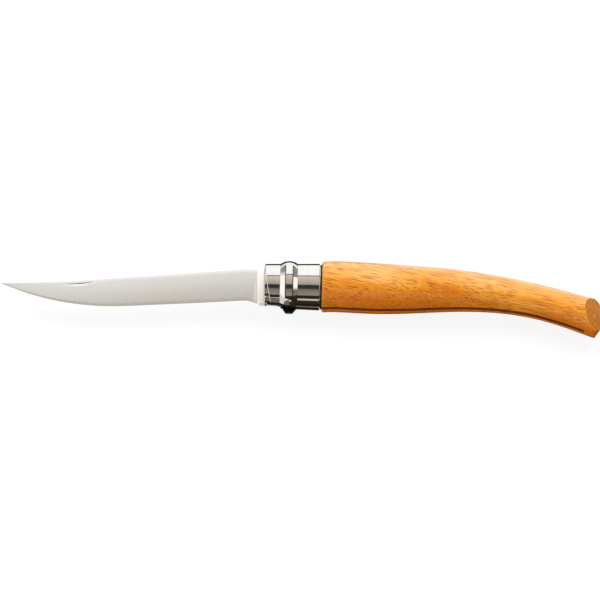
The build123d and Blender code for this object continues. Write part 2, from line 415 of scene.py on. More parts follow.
def rounded(corners, radius, steps):
    """An open line of (x, y) points with its inner corners rounded by arcs of the radius."""
    points = [corners[0]]
    for before, corner, after in zip(corners, corners[1:], corners[2:]):
        into = (Vector(before) - Vector(corner)).normalized()
        out = (Vector(after) - Vector(corner)).normalized()
        half_turn = into.angle(out) / 2
        centre = Vector(corner) + (into + out).normalized() * radius / sin(half_turn)
        first = Vector(corner) + into * radius / tan(half_turn) - centre
        second = Vector(corner) + out * radius / tan(half_turn) - centre
        for step in range(steps + 1):
            points.append(tuple(centre + first.slerp(second, step / steps) * radius))
    points.append(corners[-1])
    return points


def add_solid(mesh, columns, end_material=0):
    """Adds a closed solid through loops of points, with a face on each end."""
    rings = [[mesh.verts.new(point) for point in column] for column in columns]
    count = len(rings[0])
    for left, right in zip(rings, rings[1:]):
        for low in range(count):
            high = (low + 1) % count
            mesh.faces.new((left[low], right[low], right[high], left[high]))
    for end in (rings[0], rings[-1]):
        mesh.faces.new(end).material_index = end_material


def finish_mesh(mesh, name, material, others=()):
    """Cleans a mesh, turns its faces outwards and makes it an object with smooth and sharp edges."""
    bmesh.ops.remove_doubles(mesh, verts=mesh.verts, dist=merge_distance)
    bmesh.ops.dissolve_degenerate(mesh, edges=mesh.edges, dist=least_edge)
    bmesh.ops.recalc_face_normals(mesh, faces=mesh.faces)
    data = bpy.data.meshes.new(name)
    mesh.to_mesh(data)
    mesh.free()
    smooth(data)
    for finish in (material, *others):
        data.materials.append(finish)
    piece = bpy.data.objects.new(name, data)
    bpy.context.scene.collection.objects.link(piece)
    return piece


def smooth(data):
    """Shades a mesh smooth between its sharp edges."""
    data.shade_smooth()
    data.set_sharp_from_angle(angle=radians(sharp_angle))


def make_plain(piece):
    """Turns a piece's modifiers into its mesh."""
    graph = bpy.context.evaluated_depsgraph_get()
    data = bpy.data.meshes.new_from_object(piece.evaluated_get(graph))
    old = piece.data
    piece.modifiers.clear()
    piece.data = data
    data.name = piece.name
    bpy.data.meshes.remove(old)
    smooth(data)
    return piece


def carve(piece, cutter):
    """Takes a cutter's volume out of a piece and removes the cutter."""
    cut = piece.modifiers.new("carve", "BOOLEAN")
    cut.operation = "DIFFERENCE"
    cut.solver = "EXACT"
    cut.object = cutter
    bpy.context.view_layer.update()
    make_plain(piece)
    bpy.data.objects.remove(cutter)


def soften_edges(piece, width, segments, angle):
    """Rounds a piece's edges that are sharper than an angle in degrees."""
    bevel = piece.modifiers.new("soften", "BEVEL")
    bevel.width = width
    bevel.segments = segments
    bevel.limit_method = "ANGLE"
    bevel.angle_limit = radians(angle)
    bevel.use_clamp_overlap = True
    make_plain(piece)


def settle(piece, node, body):
    """Hands a finished piece to the frame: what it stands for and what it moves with."""
    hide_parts(node)
    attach(piece, body)


# Materials

def set_inputs(tree, node, inputs):
    """Gives a node's inputs their numbers, colours or other nodes' sockets."""
    for name, value in inputs.items():
        if isinstance(value, bpy.types.NodeSocket):
            tree.links.new(value, node.inputs[name])
        else:
            node.inputs[name].default_value = value


def add_node(tree, kind, inputs=None, **settings):
    """A new node with its settings and its inputs."""
    node = tree.nodes.new(kind)
    for name, value in settings.items():
        setattr(node, name, value)
    set_inputs(tree, node, inputs or {})
    return node


def maths(tree, operation, *values):
    """The result socket of a sum of numbers and other sockets."""
    return add_node(tree, "ShaderNodeMath", dict(enumerate(values)), operation=operation).outputs[0]


def vector_maths(tree, operation, *values):
    """The result socket of a sum of vectors and other sockets."""
    return add_node(tree, "ShaderNodeVectorMath", dict(enumerate(values)), operation=operation).outputs[0]


def parts_of(tree, vector):
    """The X, Y and Z sockets of a vector."""
    return add_node(tree, "ShaderNodeSeparateXYZ", {"Vector": vector}).outputs


def step_up(tree, value, start, width):
    """A factor that rises from 0 to 1 over a width from a start."""
    share = {0: maths(tree, "SUBTRACT", value, start), 1: width}
    return add_node(tree, "ShaderNodeMath", share, operation="DIVIDE", use_clamp=True).outputs[0]


def opaque(colour):
    """A colour with its alpha."""
    return (*colour, 1.0)


def shaded(colour, share):
    """A colour made darker or lighter by a share."""
    return [min(1.0, part * share) for part in colour]


def add_ramp(tree, factor, places, colours):
    """The colour socket of a ramp through colours at places from 0 to 1."""
    node = add_node(tree, "ShaderNodeValToRGB", {"Fac": factor})
    elements = node.color_ramp.elements
    for index, (place, colour) in enumerate(zip(places, colours)):
        element = elements[index] if index < 2 else elements.new(place)
        element.position = place
        element.color = opaque(colour)
    return node.outputs["Color"]


def mixed(tree, factor, first, second, blend="MIX"):
    """Colour socket of two colours mixed by a factor."""
    inputs = {"Factor": factor, "A": first, "B": second}
    return add_node(tree, "ShaderNodeMix", inputs, data_type="RGBA", blend_type=blend).outputs["Result"]


def cells_at(tree, coordinates, cells, turn=0.0):
    """Coordinates counted in cells to a metre along each axis, with the cells turned about Z by degrees."""
    size = [1 / count for count in cells]
    inputs = {"Vector": coordinates, "Rotation": (0, 0, radians(turn)), "Scale": size}
    return add_node(tree, "ShaderNodeMapping", inputs, vector_type="TEXTURE").outputs["Vector"]


def noise(tree, place, **others):
    """The factor of a soft random pattern, with a cell to each unit of its place."""
    inputs = {"Vector": place, "Scale": 1.0, **others}
    return add_node(tree, "ShaderNodeTexNoise", inputs).outputs["Fac"]


def bumped(tree, height, strength, depth, **others):
    """Normals of a surface that is raised by a height."""
    inputs = {"Height": height, "Strength": strength, "Distance": depth, **others}
    return add_node(tree, "ShaderNodeBump", inputs).outputs["Normal"]


def new_material(name):
    """An empty material with its shader, tree and Object coordinates."""
    material = bpy.data.materials.new(name)
    material.use_nodes = True
    tree = material.node_tree
    shader = tree.nodes["Principled BSDF"]
    coordinates = add_node(tree, "ShaderNodeTexCoord").outputs["Object"]
    return material, tree, shader, coordinates


def blade_steel(settings):
    """Satin steel with fine grinding lines square to the blade's length, with painted shade that darkens it
    from the spine towards the edge, and a lighter tang behind the plunge that is partly painted light.
    """
    material, tree, shader, coordinates = new_material("satin_blade_steel")
    lines = noise(tree, cells_at(tree, coordinates, grinding_lines), Detail=4.0, Roughness=0.7)
    clouds = noise(tree, cells_at(tree, coordinates, grinding_clouds), Detail=2.0)
    cloud_tone = maths(tree, "MULTIPLY", clouds, 1 - line_share)
    tone = maths(tree, "MULTIPLY_ADD", lines, line_share, cloud_tone)
    darker = shaded(settings.steel_colour, 1 - settings.line_contrast)
    lighter = shaded(settings.steel_colour, 1 + settings.line_contrast)
    ground = add_ramp(tree, tone, line_stops, (darker, lighter))
    # Painted shade: the steel's colour darkens from the spine towards the cutting edge, in place of the
    # darker reflections low on the blade
    height = parts_of(tree, cells_at(tree, coordinates, (1, 1, 1), settings.painted_shade_turn))["Y"]
    share = maths(tree, "MULTIPLY_ADD", height, 1 / (2 * belly_depth), 0.5)
    shade = add_ramp(tree, share, painted_shade_stops, (shaded(white, settings.painted_edge_shade), white))
    ground = mixed(tree, 1.0, ground, shade, blend="MULTIPLY")
    # Partly painted light: the unground steel behind the plunge gets a lighter colour, partly its own finish
    # and partly in place of the light that the tang and heel tab catch
    place = parts_of(tree, coordinates)
    plunge = maths(tree, "MULTIPLY_ADD", place["Y"], -plunge_lean, place["X"])
    start = pivot.x - plunge_back - plunge_lean * (pivot.y + spine_height)
    on_lit_tang = step_up(tree, plunge, start, plunge_blend)
    slope = maths(tree, "MULTIPLY_ADD", height, -settings.grind_curve / 2, -settings.grind_lean)
    hollow = bumped(tree, maths(tree, "MULTIPLY", height, slope), 1.0, 1.0)
    set_inputs(tree, shader, {
        "Base Color": mixed(tree, on_lit_tang, ground, opaque(settings.tang_colour_and_light)),
        "Metallic": 1.0,
        "Roughness": maths(tree, "MULTIPLY_ADD", lines, line_roughness, settings.roughness),
        "Normal": bumped(tree, lines, steel_mark_strength, steel_mark_depth, Normal=hollow),
    })
    return material


def polished_steel(name, colour, roughness):
    """Polished steel with faint turning marks and handling scuffs."""
    material, tree, shader, coordinates = new_material(name)
    marks = noise(tree, cells_at(tree, coordinates, turning_marks), Detail=3.0)
    scuffs = noise(tree, coordinates, Scale=scuff_cells, Detail=4.0)
    set_inputs(tree, shader, {
        "Base Color": add_ramp(tree, scuffs, scuff_stops, (shaded(colour, scuff_shade), colour)),
        "Metallic": 1.0,
        "Roughness": maths(tree, "MULTIPLY_ADD", scuffs, scuff_roughness, roughness),
        "Normal": bumped(tree, marks, steel_mark_strength, steel_mark_depth),
    })
    return material


def flecks(tree, place, strength):
    """A factor that is high in the middle of some of the cells at a place."""
    cells = add_node(tree, "ShaderNodeTexVoronoi", {"Vector": place, "Scale": 1.0, "Randomness": 1.0})
    middle = add_ramp(tree, cells.outputs["Distance"], fleck_stops, (white, black))
    picked = add_node(tree, "ShaderNodeSeparateColor", {"Color": cells.outputs["Color"]}).outputs["Red"]
    level = add_ramp(tree, picked, picked_stops, (black, shaded(white, strength)))
    return maths(tree, "MULTIPLY", middle, level)


def painted_light_height(tree, coordinates):
    """Height across the bent grip: 0 near its underside, 1 near its back, for the wood's painted light and
    shade.
    """
    place = parts_of(tree, coordinates)
    from_ferrule = maths(tree, "SUBTRACT", place["X"], pivot.x + ferrule_back)
    share = maths(tree, "MAXIMUM", maths(tree, "DIVIDE", from_ferrule, handle_end - ferrule_back), 0.0)
    drop = maths(tree, "MULTIPLY", maths(tree, "POWER", share, bend_power), handle_bend)
    height = maths(tree, "ADD", maths(tree, "SUBTRACT", place["Y"], pivot.y), drop)
    return maths(tree, "MULTIPLY_ADD", height, 0.5 / grip_half_height, 0.5)


def beech(settings):
    """Lacquered beech with painted light and shade, darker below towards the slot and lighter on top, with
    slow bands, fine fibres and short brown flecks.
    """
    material, tree, shader, coordinates = new_material("lacquered_beech")
    grain = settings.grain_turn
    bands = noise(tree, cells_at(tree, coordinates, wood_bands, grain), Detail=3.0, Distortion=0.5)
    fibres = noise(tree, cells_at(tree, coordinates, wood_fibres, grain), Detail=4.0)
    patches = noise(tree, cells_at(tree, coordinates, wood_patches, 2 * grain), Detail=1.0)
    # Painted light and shade: the tone rises from the grip's underside to its back, and the grain's patterns
    # move it about
    tone = painted_light_height(tree, coordinates)
    for pattern, weight in ((bands, band_weight), (fibres, fibre_weight), (patches, patch_weight)):
        tone = maths(tree, "MULTIPLY_ADD", maths(tree, "SUBTRACT", pattern, 0.5), weight, tone)
    dark, warm = settings.shaded_dark_wood, settings.warm_wood
    shaded_deep_wood = [low + (high - low) * shaded_deep_share for low, high in zip(dark, warm)]
    ground = add_ramp(tree, tone, wood_stops, (dark, shaded_deep_wood, warm, settings.lit_light_wood))
    strength = settings.fleck_strength
    chosen = maths(tree, "MAXIMUM", *(
        flecks(tree, cells_at(tree, coordinates, cells, grain + fleck_turn), level)
        for cells, level in ((long_flecks, strength), (short_flecks, strength * short_fleck_share))
    ))
    set_inputs(tree, shader, {
        "Base Color": mixed(tree, chosen, ground, opaque(settings.fleck_colour)),
        "Roughness": maths(tree, "MULTIPLY_ADD", fibres, fibre_roughness, wood_roughness),
        "Normal": bumped(tree, fibres, fibre_strength, wood_mark_depth),
        "Specular IOR Level": wood_gloss,
        "Coat Weight": settings.lacquer,
        "Coat Roughness": settings.lacquer_roughness,
        "Coat IOR": lacquer_index,
    })
    return material


def end_grain(settings):
    """Lacquered end grain of the butt's cut faces: small rays and pores in darker and lighter spots."""
    material, tree, shader, coordinates = new_material("butt_end_grain")
    rays = noise(tree, cells_at(tree, coordinates, end_rays, ray_turn), Detail=3.0, Roughness=0.6)
    tones = [shaded(settings.end_grain, share) for share in ray_shades]
    set_inputs(tree, shader, {
        "Base Color": add_ramp(tree, rays, ray_stops, tones),
        "Roughness": end_roughness,
        "Normal": bumped(tree, rays, ray_strength, wood_mark_depth),
        "Specular IOR Level": wood_gloss,
        "Coat Weight": settings.lacquer * end_lacquer_share,
        "Coat Roughness": settings.lacquer_roughness,
    })
    return material


def bare_wood_painted_shade(name, colour):
    """Bare wood with saw marks along it, in a dark colour that is painted shade: the slot's inner walls, the
    tenon and the back rim of the ferrule.
    """
    material, tree, shader, coordinates = new_material(name)
    marks = noise(tree, cells_at(tree, coordinates, saw_marks), Detail=4.0)
    set_inputs(tree, shader, {
        "Base Color": add_ramp(tree, marks, saw_stops, (shaded(colour, saw_shade), colour)),
        "Roughness": sawn_roughness,
        "Normal": bumped(tree, marks, saw_strength, wood_mark_depth),
    })
    return material


# Sizes and colours that a user would change

class KnifeBladeSettings(bpy.types.PropertyGroup):
    """Sizes and finish of the blade."""

    spine_rounding: bpy.props.FloatProperty(
        name="Spine Rounding", description="Radius of the softened edges along the spine",
        default=0.15 * MM, min=0.0, unit="LENGTH",
    )
    steel_colour: bpy.props.FloatVectorProperty(
        name="Steel Colour", description="Colour of the ground steel",
        default=(0.81, 0.80, 0.775), min=0.0, max=1.0, subtype="COLOR",
    )
    # Partly painted light: the unground tang's colour is lighter than the ground steel, also in place of the
    # light it catches
    tang_colour_and_light: bpy.props.FloatVectorProperty(
        name="Tang Colour", description="Colour of the unground steel behind the plunge",
        default=(0.97, 0.94, 0.91), min=0.0, max=1.0, subtype="COLOR",
    )
    nick_colour: bpy.props.FloatVectorProperty(
        name="Nick Colour", description="Colour of the steel inside the nail nick",
        default=(0.95, 0.93, 0.90), min=0.0, max=1.0, subtype="COLOR",
    )
    edge_colour: bpy.props.FloatVectorProperty(
        name="Edge Colour", description="Colour of the steel along the cutting edge",
        default=(0.72, 0.79, 0.90), min=0.0, max=1.0, subtype="COLOR",
    )
    # Painted shade: the share of the steel's colour left at the cutting edge, darkening the blade from its
    # spine down
    painted_edge_shade: bpy.props.FloatProperty(
        name="Edge Shade", description="Share of the steel's colour that is left at the cutting edge",
        default=0.86, min=0.0, max=1.0, subtype="FACTOR",
    )
    # Turn of the blade's painted shade
    painted_shade_turn: bpy.props.FloatProperty(
        name="Shade Turn", description="Turn of the shade to suit the blade's slope, in degrees",
        default=5.0, min=-30.0, max=30.0,
    )
    grind_lean: bpy.props.FloatProperty(
        name="Grind Lean", description="Lean of the ground faces towards the spine, in radians",
        default=0.030, min=0.0, max=0.2,
    )
    grind_curve: bpy.props.FloatProperty(
        name="Grind Curve", description="Turn of the ground faces, in radians to a metre of height",
        default=4.5, min=0.0, max=20.0,
    )
    line_contrast: bpy.props.FloatProperty(
        name="Line Contrast", description="How much the grinding lines lighten and darken the steel",
        default=0.018, min=0.0, max=0.5, subtype="FACTOR",
    )
    roughness: bpy.props.FloatProperty(
        name="Roughness", description="Roughness of the ground steel between its lines",
        default=0.22, min=0.0, max=1.0, subtype="FACTOR",
    )


class KnifeHandleSettings(bpy.types.PropertyGroup):
    """Sizes and finish of the wooden handle."""

    lip_rounding: bpy.props.FloatProperty(
        name="Slot Lip Rounding", description="Radius of the softened edges along the blade slot",
        default=0.35 * MM, min=0.0, unit="LENGTH",
    )
    butt_softening: bpy.props.FloatProperty(
        name="Butt Edge Softening", description="Width of the softened edges round the butt's two faces",
        default=0.25 * MM, min=0.0, unit="LENGTH",
    )
    # Painted light: the lightest colour sits on top of the grip, where the lamps fall, as well as in the
    # grain's light bands
    lit_light_wood: bpy.props.FloatVectorProperty(
        name="Light Wood", description="Lightest colour of the beech",
        default=(0.92, 0.485, 0.15), min=0.0, max=1.0, subtype="COLOR",
    )
    warm_wood: bpy.props.FloatVectorProperty(
        name="Warm Wood", description="Colour of the beech between its lightest and its darkest",
        default=(0.85, 0.335, 0.020), min=0.0, max=1.0, subtype="COLOR",
    )
    # Painted shade: the darkest colour sits at the grip's underside by the slot, as well as in the grain's
    # dark bands
    shaded_dark_wood: bpy.props.FloatVectorProperty(
        name="Dark Wood", description="Darkest colour of the beech between its flecks",
        default=(0.73, 0.20, 0.001), min=0.0, max=1.0, subtype="COLOR",
    )
    fleck_colour: bpy.props.FloatVectorProperty(
        name="Fleck Colour", description="Colour of the short flecks along the grain",
        default=(0.36, 0.07, 0.002), min=0.0, max=1.0, subtype="COLOR",
    )
    fleck_strength: bpy.props.FloatProperty(
        name="Fleck Strength", description="How strongly the flecks cover the wood",
        default=0.9, min=0.0, max=1.0, subtype="FACTOR",
    )
    end_grain: bpy.props.FloatVectorProperty(
        name="End Grain", description="Colour of the butt's two cut faces",
        default=(0.62, 0.205, 0.010), min=0.0, max=1.0, subtype="COLOR",
    )
    # Painted shade: the slot's inner walls and roof are darkened in place of the shade inside the slot
    slot_shade_colour: bpy.props.FloatVectorProperty(
        name="Slot Colour", description="Colour of the bare wood inside the blade slot",
        default=(0.34, 0.085, 0.012), min=0.0, max=1.0, subtype="COLOR",
    )
    # Painted shade: the tenon inside the ferrule is near-black in place of the shade there
    tenon_shade_colour: bpy.props.FloatVectorProperty(
        name="Tenon Colour", description="Colour of the darkened wood inside the ferrule",
        default=(0.05, 0.022, 0.012), min=0.0, max=1.0, subtype="COLOR",
    )
    grain_turn: bpy.props.FloatProperty(
        name="Grain Turn", description="Turn of the grain from the collar's axis, in degrees",
        default=-11.0, min=-30.0, max=30.0,
    )
    lacquer: bpy.props.FloatProperty(
        name="Lacquer", description="Weight of the clear lacquer",
        default=1.0, min=0.0, max=1.0, subtype="FACTOR",
    )
    lacquer_roughness: bpy.props.FloatProperty(
        name="Lacquer Roughness", description="Roughness of the clear lacquer",
        default=0.28, min=0.0, max=1.0, subtype="FACTOR",
    )


class KnifeCollarSettings(bpy.types.PropertyGroup):
    """Sizes and finish of the ferrule, the locking ring and the rivet."""

    sheet_edge: bpy.props.FloatProperty(
        name="Sheet Edge", description="Width of the softened edges of the sheet steel",
        default=0.35 * MM, min=0.0, unit="LENGTH",
    )
    steel_colour: bpy.props.FloatVectorProperty(
        name="Steel Colour", description="Colour of the polished steel",
        default=(0.86, 0.85, 0.83), min=0.0, max=1.0, subtype="COLOR",
    )
    # Painted shadow: the near-black colour of the back rim stands in for the shadow in the gap behind the
    # ring
    joint_shadow_colour: bpy.props.FloatVectorProperty(
        name="Joint Colour", description="Colour of the dark back rim between the ring and the wood",
        default=(0.012, 0.008, 0.006), min=0.0, max=1.0, subtype="COLOR",
    )
    sheared_colour: bpy.props.FloatVectorProperty(
        name="Sheared Colour", description="Colour of the dull sheared ends of the ring's sheet",
        default=(0.13, 0.12, 0.115), min=0.0, max=1.0, subtype="COLOR",
    )
    roughness: bpy.props.FloatProperty(
        name="Roughness", description="Roughness of the polished steel",
        default=0.05, min=0.0, max=1.0, subtype="FACTOR",
    )


class KnifeStageSettings(bpy.types.PropertyGroup):
    """Camera, lamps and floor."""

    camera_lean: bpy.props.FloatProperty(
        name="Camera Lean", description="Angle between the camera's line of sight and straight down",
        default=picture_lean, unit="ROTATION",
    )
    camera_roll: bpy.props.FloatProperty(
        name="Camera Roll", description="Turn of the picture about the camera's line of sight",
        default=radians(1.3), unit="ROTATION",
    )
    picture_width: bpy.props.FloatProperty(
        name="Picture Width", description="Width of the scene that the picture shows at the knife",
        default=272.7 * MM, unit="LENGTH",
    )
    aim_along: bpy.props.FloatProperty(
        name="Aim Along", description="Distance from the pivot to the picture's middle along the collar",
        default=4.84 * MM, unit="LENGTH",
    )
    aim_below: bpy.props.FloatProperty(
        name="Aim Below", description="Distance from the pivot down to the picture's middle",
        default=6.03 * MM, unit="LENGTH",
    )
    lens: bpy.props.FloatProperty(
        name="Lens", description="Focal length of the camera in millimetres",
        default=500.0, min=1.0,
    )
    floor_bounce: bpy.props.FloatVectorProperty(
        name="Floor Bounce", description="Colour of the light that the floor throws back on the knife",
        default=(0.62, 0.44, 0.24), min=0.0, max=1.0, subtype="COLOR",
    )


# Blade

def blade_loop(spine, edge, half_spine, shoulder_rise, half_shoulder, half_edge, rounding):
    """One closed section of the blade, as (height, thickness) points up one side and down the other."""
    side = [(spine, half_spine - rounding)]
    for turn in quarter_turn(spine_steps):
        side.append((spine - rounding + rounding * cos(turn), half_spine - rounding + rounding * sin(turn)))
    top = spine - rounding
    bottom = edge + shoulder_rise
    for step in range(1, side_rows + 1):
        share = step / side_rows
        side.append((top + (bottom - top) * share, half_spine + (half_shoulder - half_spine) * share))
    side.append((edge, half_edge))
    return side + [(height, -thickness) for height, thickness in reversed(side)]


def blade_columns(rounding):
    """Sections of the whole blade, from its point to the back of the tang."""
    columns = []

    def add(along, *section):
        """Adds a section, leaning with the plunge line where it is near it."""
        away = max(0.0, -plunge_back - along - plunge_run, along + plunge_back)
        lean = plunge_lean * max(0.0, 1 - away / plunge_fade)
        loop = blade_loop(*section, rounding=min(rounding, section[2] * most_rounding))
        columns.append([
            from_pivot(along + lean * (spine_height - height), height, thickness)
            for height, thickness in loop
        ])

    def ground(row):
        """Sizes of a ground section, from its row of shares."""
        spine_share, edge_share, thickness_share, bevel_share = row
        return (
            spine_share * spine_height, -edge_share * belly_depth, thickness_share * half_blade,
            bevel_share * bevel_height, bevel_share * bevel_half_thickness, edge_half_thickness,
        )

    places = [1 - point_share * (step / point_sections) ** point_crowding for step in range(point_sections)]
    places += evenly(1 - point_share, 0.0, blade_sections)
    for place, row in zip(places, cubic_rows(blade_rows_share, places)):
        add(-heel_end - place * (blade_reach - heel_end), *ground(row))
    heel_length = heel_end - plunge_back
    plunge_start = plunge_run / heel_length
    places = evenly(heel_start_share, plunge_start, heel_sections)
    for place, row in zip(places, cubic_rows(heel_rows_share, places)):
        add(-plunge_back - place * heel_length, *ground(row))
    steps = evenly(1.0, 0.0, plunge_sections)[1:]
    for step, row in zip(steps, cubic_rows(heel_rows_share, [step * plunge_start for step in steps])):
        hollow = sqrt(1 - (1 - step) ** 2)
        spine, edge, half_spine, rise, half_shoulder, half_edge = ground(row)
        flat = half_blade - rounding
        edge = edge + (1 - hollow) * (-kick_depth - edge)
        add(
            -plunge_back - step * plunge_run, spine, edge, half_blade + hollow * (half_spine - half_blade),
            rounding + hollow * (rise - rounding), half_blade + hollow * (half_shoulder - half_blade),
            flat + hollow * (half_edge - flat),
        )
    plate = (half_blade, rounding, half_blade, half_blade - rounding)
    for along in evenly(plunge_back, kick_back + kick_rounding, kick_sections)[1:]:
        add(-along, spine_height, -kick_depth, *plate)
    for turn in quarter_turn(kick_steps):
        depth = kick_depth - kick_rounding + kick_rounding * cos(turn)
        add(-kick_back - kick_rounding + kick_rounding * sin(turn), spine_height, -depth, *plate)
    for along in (kick_back, kick_back / 2, 0.0):
        add(-along, spine_height, -tang_belly_height, *plate)
    middle = (spine_height - tang_belly_height) / 2
    for turn in quarter_turn(tang_steps):
        reach = tang_radius * cos(turn)
        slim = min(rounding, reach / 2)
        end_plate = (half_blade, slim, half_blade, half_blade - slim)
        add(tang_radius * sin(turn), middle + reach, middle - reach, *end_plate)
    return columns


class KNIFE_OT_make_blade(bpy.types.Operator):
    """Make the ground blade with its plunge, heel tab, pivot bore and nail nick"""

    bl_idname = "knife.make_blade"
    bl_label = "Make Blade"

    def execute(self, context):
        settings = context.scene.knife_blade
        mesh = bmesh.new()
        add_solid(mesh, blade_columns(settings.spine_rounding))
        steel = blade_steel(settings)
        grey = polished_steel("nail_nick_steel", settings.nick_colour, settings.roughness)
        edge = polished_steel("cutting_edge_steel", settings.edge_colour, settings.roughness)
        blade = finish_mesh(mesh, "ground_blade", steel, others=(grey, edge))
        for face in blade.data.polygons:
            if face.normal.y < edge_slope and face.center.x < pivot.x - plunge_back:
                face.material_index = edge_finish
        carve(blade, self.bore(steel))
        carve(blade, self.nick(steel, grey))
        settle(blade, "blade", "blade")
        return {"FINISHED"}

    def bore(self, steel):
        """Cutter for the hole round the rivet."""
        mesh = bmesh.new()
        bmesh.ops.create_cone(
            mesh, cap_ends=True, segments=bore_sides, radius1=rivet_bore_radius, radius2=rivet_bore_radius,
            depth=bore_depth, matrix=Matrix.Translation(pivot),
        )
        return finish_mesh(mesh, "bore_cutter", steel)

    def nick(self, steel, grey):
        """Cutter for the nail nick: the rim of a large slanting wheel."""
        wheel_radius = (nick_length ** 2 / 4 + nick_depth ** 2) / (2 * nick_depth)
        row = cubic_rows(blade_rows_share, [nick_place_share])[0]
        place = from_pivot(
            -heel_end - nick_place_share * (blade_reach - heel_end),
            row[0] * spine_height - nick_drop,
            row[2] * half_blade + wheel_radius - nick_depth,
        )
        turn = Matrix.Rotation(radians(nick_slope), 4, "Z") @ Matrix.Rotation(radians(-90), 4, "X")
        lowered = Matrix.Translation((0, 0, -nick_height / 2))
        mesh = bmesh.new()
        bmesh.ops.create_cone(
            mesh, cap_ends=True, segments=nick_sides, radius1=wheel_radius - nick_depth,
            radius2=wheel_radius, depth=nick_height, matrix=Matrix.Translation(place) @ turn @ lowered,
        )
        for face in mesh.faces:
            face.material_index = nick_finish
        return finish_mesh(mesh, "nick_cutter", steel, others=(grey,))


# Handle

def handle_loop(row, inset, roof, lip):
    """One closed section of the handle, open below where the blade slot's roof is above its surface."""
    drop_share, height_share, thickness_share = row
    middle = -drop_share * handle_bend
    height = height_share * shoulder_radius - inset
    thickness = thickness_share * shoulder_radius - inset

    def underside(across):
        """Height of the round underside beside the middle plane."""
        return middle - height * sqrt(1 - (across / thickness) ** 2)

    lip_start = slot_half_width + lip
    lip_height = underside(lip_start)
    wall_start = lip_height + lip
    inner = [
        (lip_start - lip * sin(turn), wall_start - lip * cos(turn)) for turn in quarter_turn(lip_points)
    ]
    inner += [(slot_half_width, wall_start + (roof - wall_start) * share) for share in wall_shares]
    inner += [(slot_half_width / 2, roof), (0.0, roof)]
    inner = [(across, max(underside(across), min(upward, roof))) for across, upward in inner]
    start = asin(lip_start / thickness)
    turns = evenly(start, 2 * pi - start, grip_points)
    outer = [(thickness * sin(turn), middle - height * cos(turn)) for turn in turns]
    return outer + [(-across, upward) for across, upward in inner] + list(reversed(inner[:-1]))


def slot_roof(along):
    """Height of the blade slot's roof above the pivot at a distance along the collar's axis."""
    reach = along / MM
    if reach < slot_roof_points[0][0]:
        return slot_roof_points[0][1] * MM
    if reach < slot_roof_points[-1][0]:
        return float(np.polyval(slot_roof_curve, reach)) * MM
    return slot_roof_points[-1][1] * MM - (along - slot_roof_points[-1][0] * MM) * slot_tail_fall


def handle_columns(lip):
    """Sections of the grip from its front shoulder to its butt."""
    places = [
        (ferrule_back + shoulder_rounding * (1 - cos(turn)), shoulder_rounding * (1 - sin(turn)))
        for turn in evenly(0.0, pi / 2, shoulder_sections)
    ]
    slot_close = slot_roof_points[-1][0] * MM
    slot_end = slot_close + slot_end_run
    butt_start = handle_end - butt_rounding
    for start, end, sections in (
        (places[-1][0], slot_close, slot_sections), (slot_close, slot_end, slot_end_sections),
        (slot_end, butt_start, butt_sections),
    ):
        places += [(along, 0.0) for along in evenly(start, end, sections)[1:]]
    places += [
        (butt_start + butt_rounding * sin(turn), butt_rounding * (1 - cos(turn)))
        for turn in evenly(0.0, pi / 2, butt_end_sections)[1:]
    ]
    shares = [(along - ferrule_back) / (handle_end - ferrule_back) for along, _ in places]
    rows = curve_rows(handle_rows_share, shares)
    columns = []
    for (along, inset), row in zip(places, rows):
        loop = handle_loop(row, inset, slot_roof(along), lip)
        columns.append([from_pivot(along, upward, across) for across, upward in loop])
    return columns


def tenon_columns(side):
    """Sections of one cheek of the tenon, above or below the blade."""
    columns = []
    for along in evenly(-tenon_front, ferrule_back, tenon_sections):
        radius = tenon_radius + along * collar_taper
        start = asin(slot_half_width / radius)
        columns.append([
            from_pivot(along, -radius * cos(turn), side * radius * sin(turn))
            for turn in evenly(start, pi - start, cheek_points)
        ])
    return columns


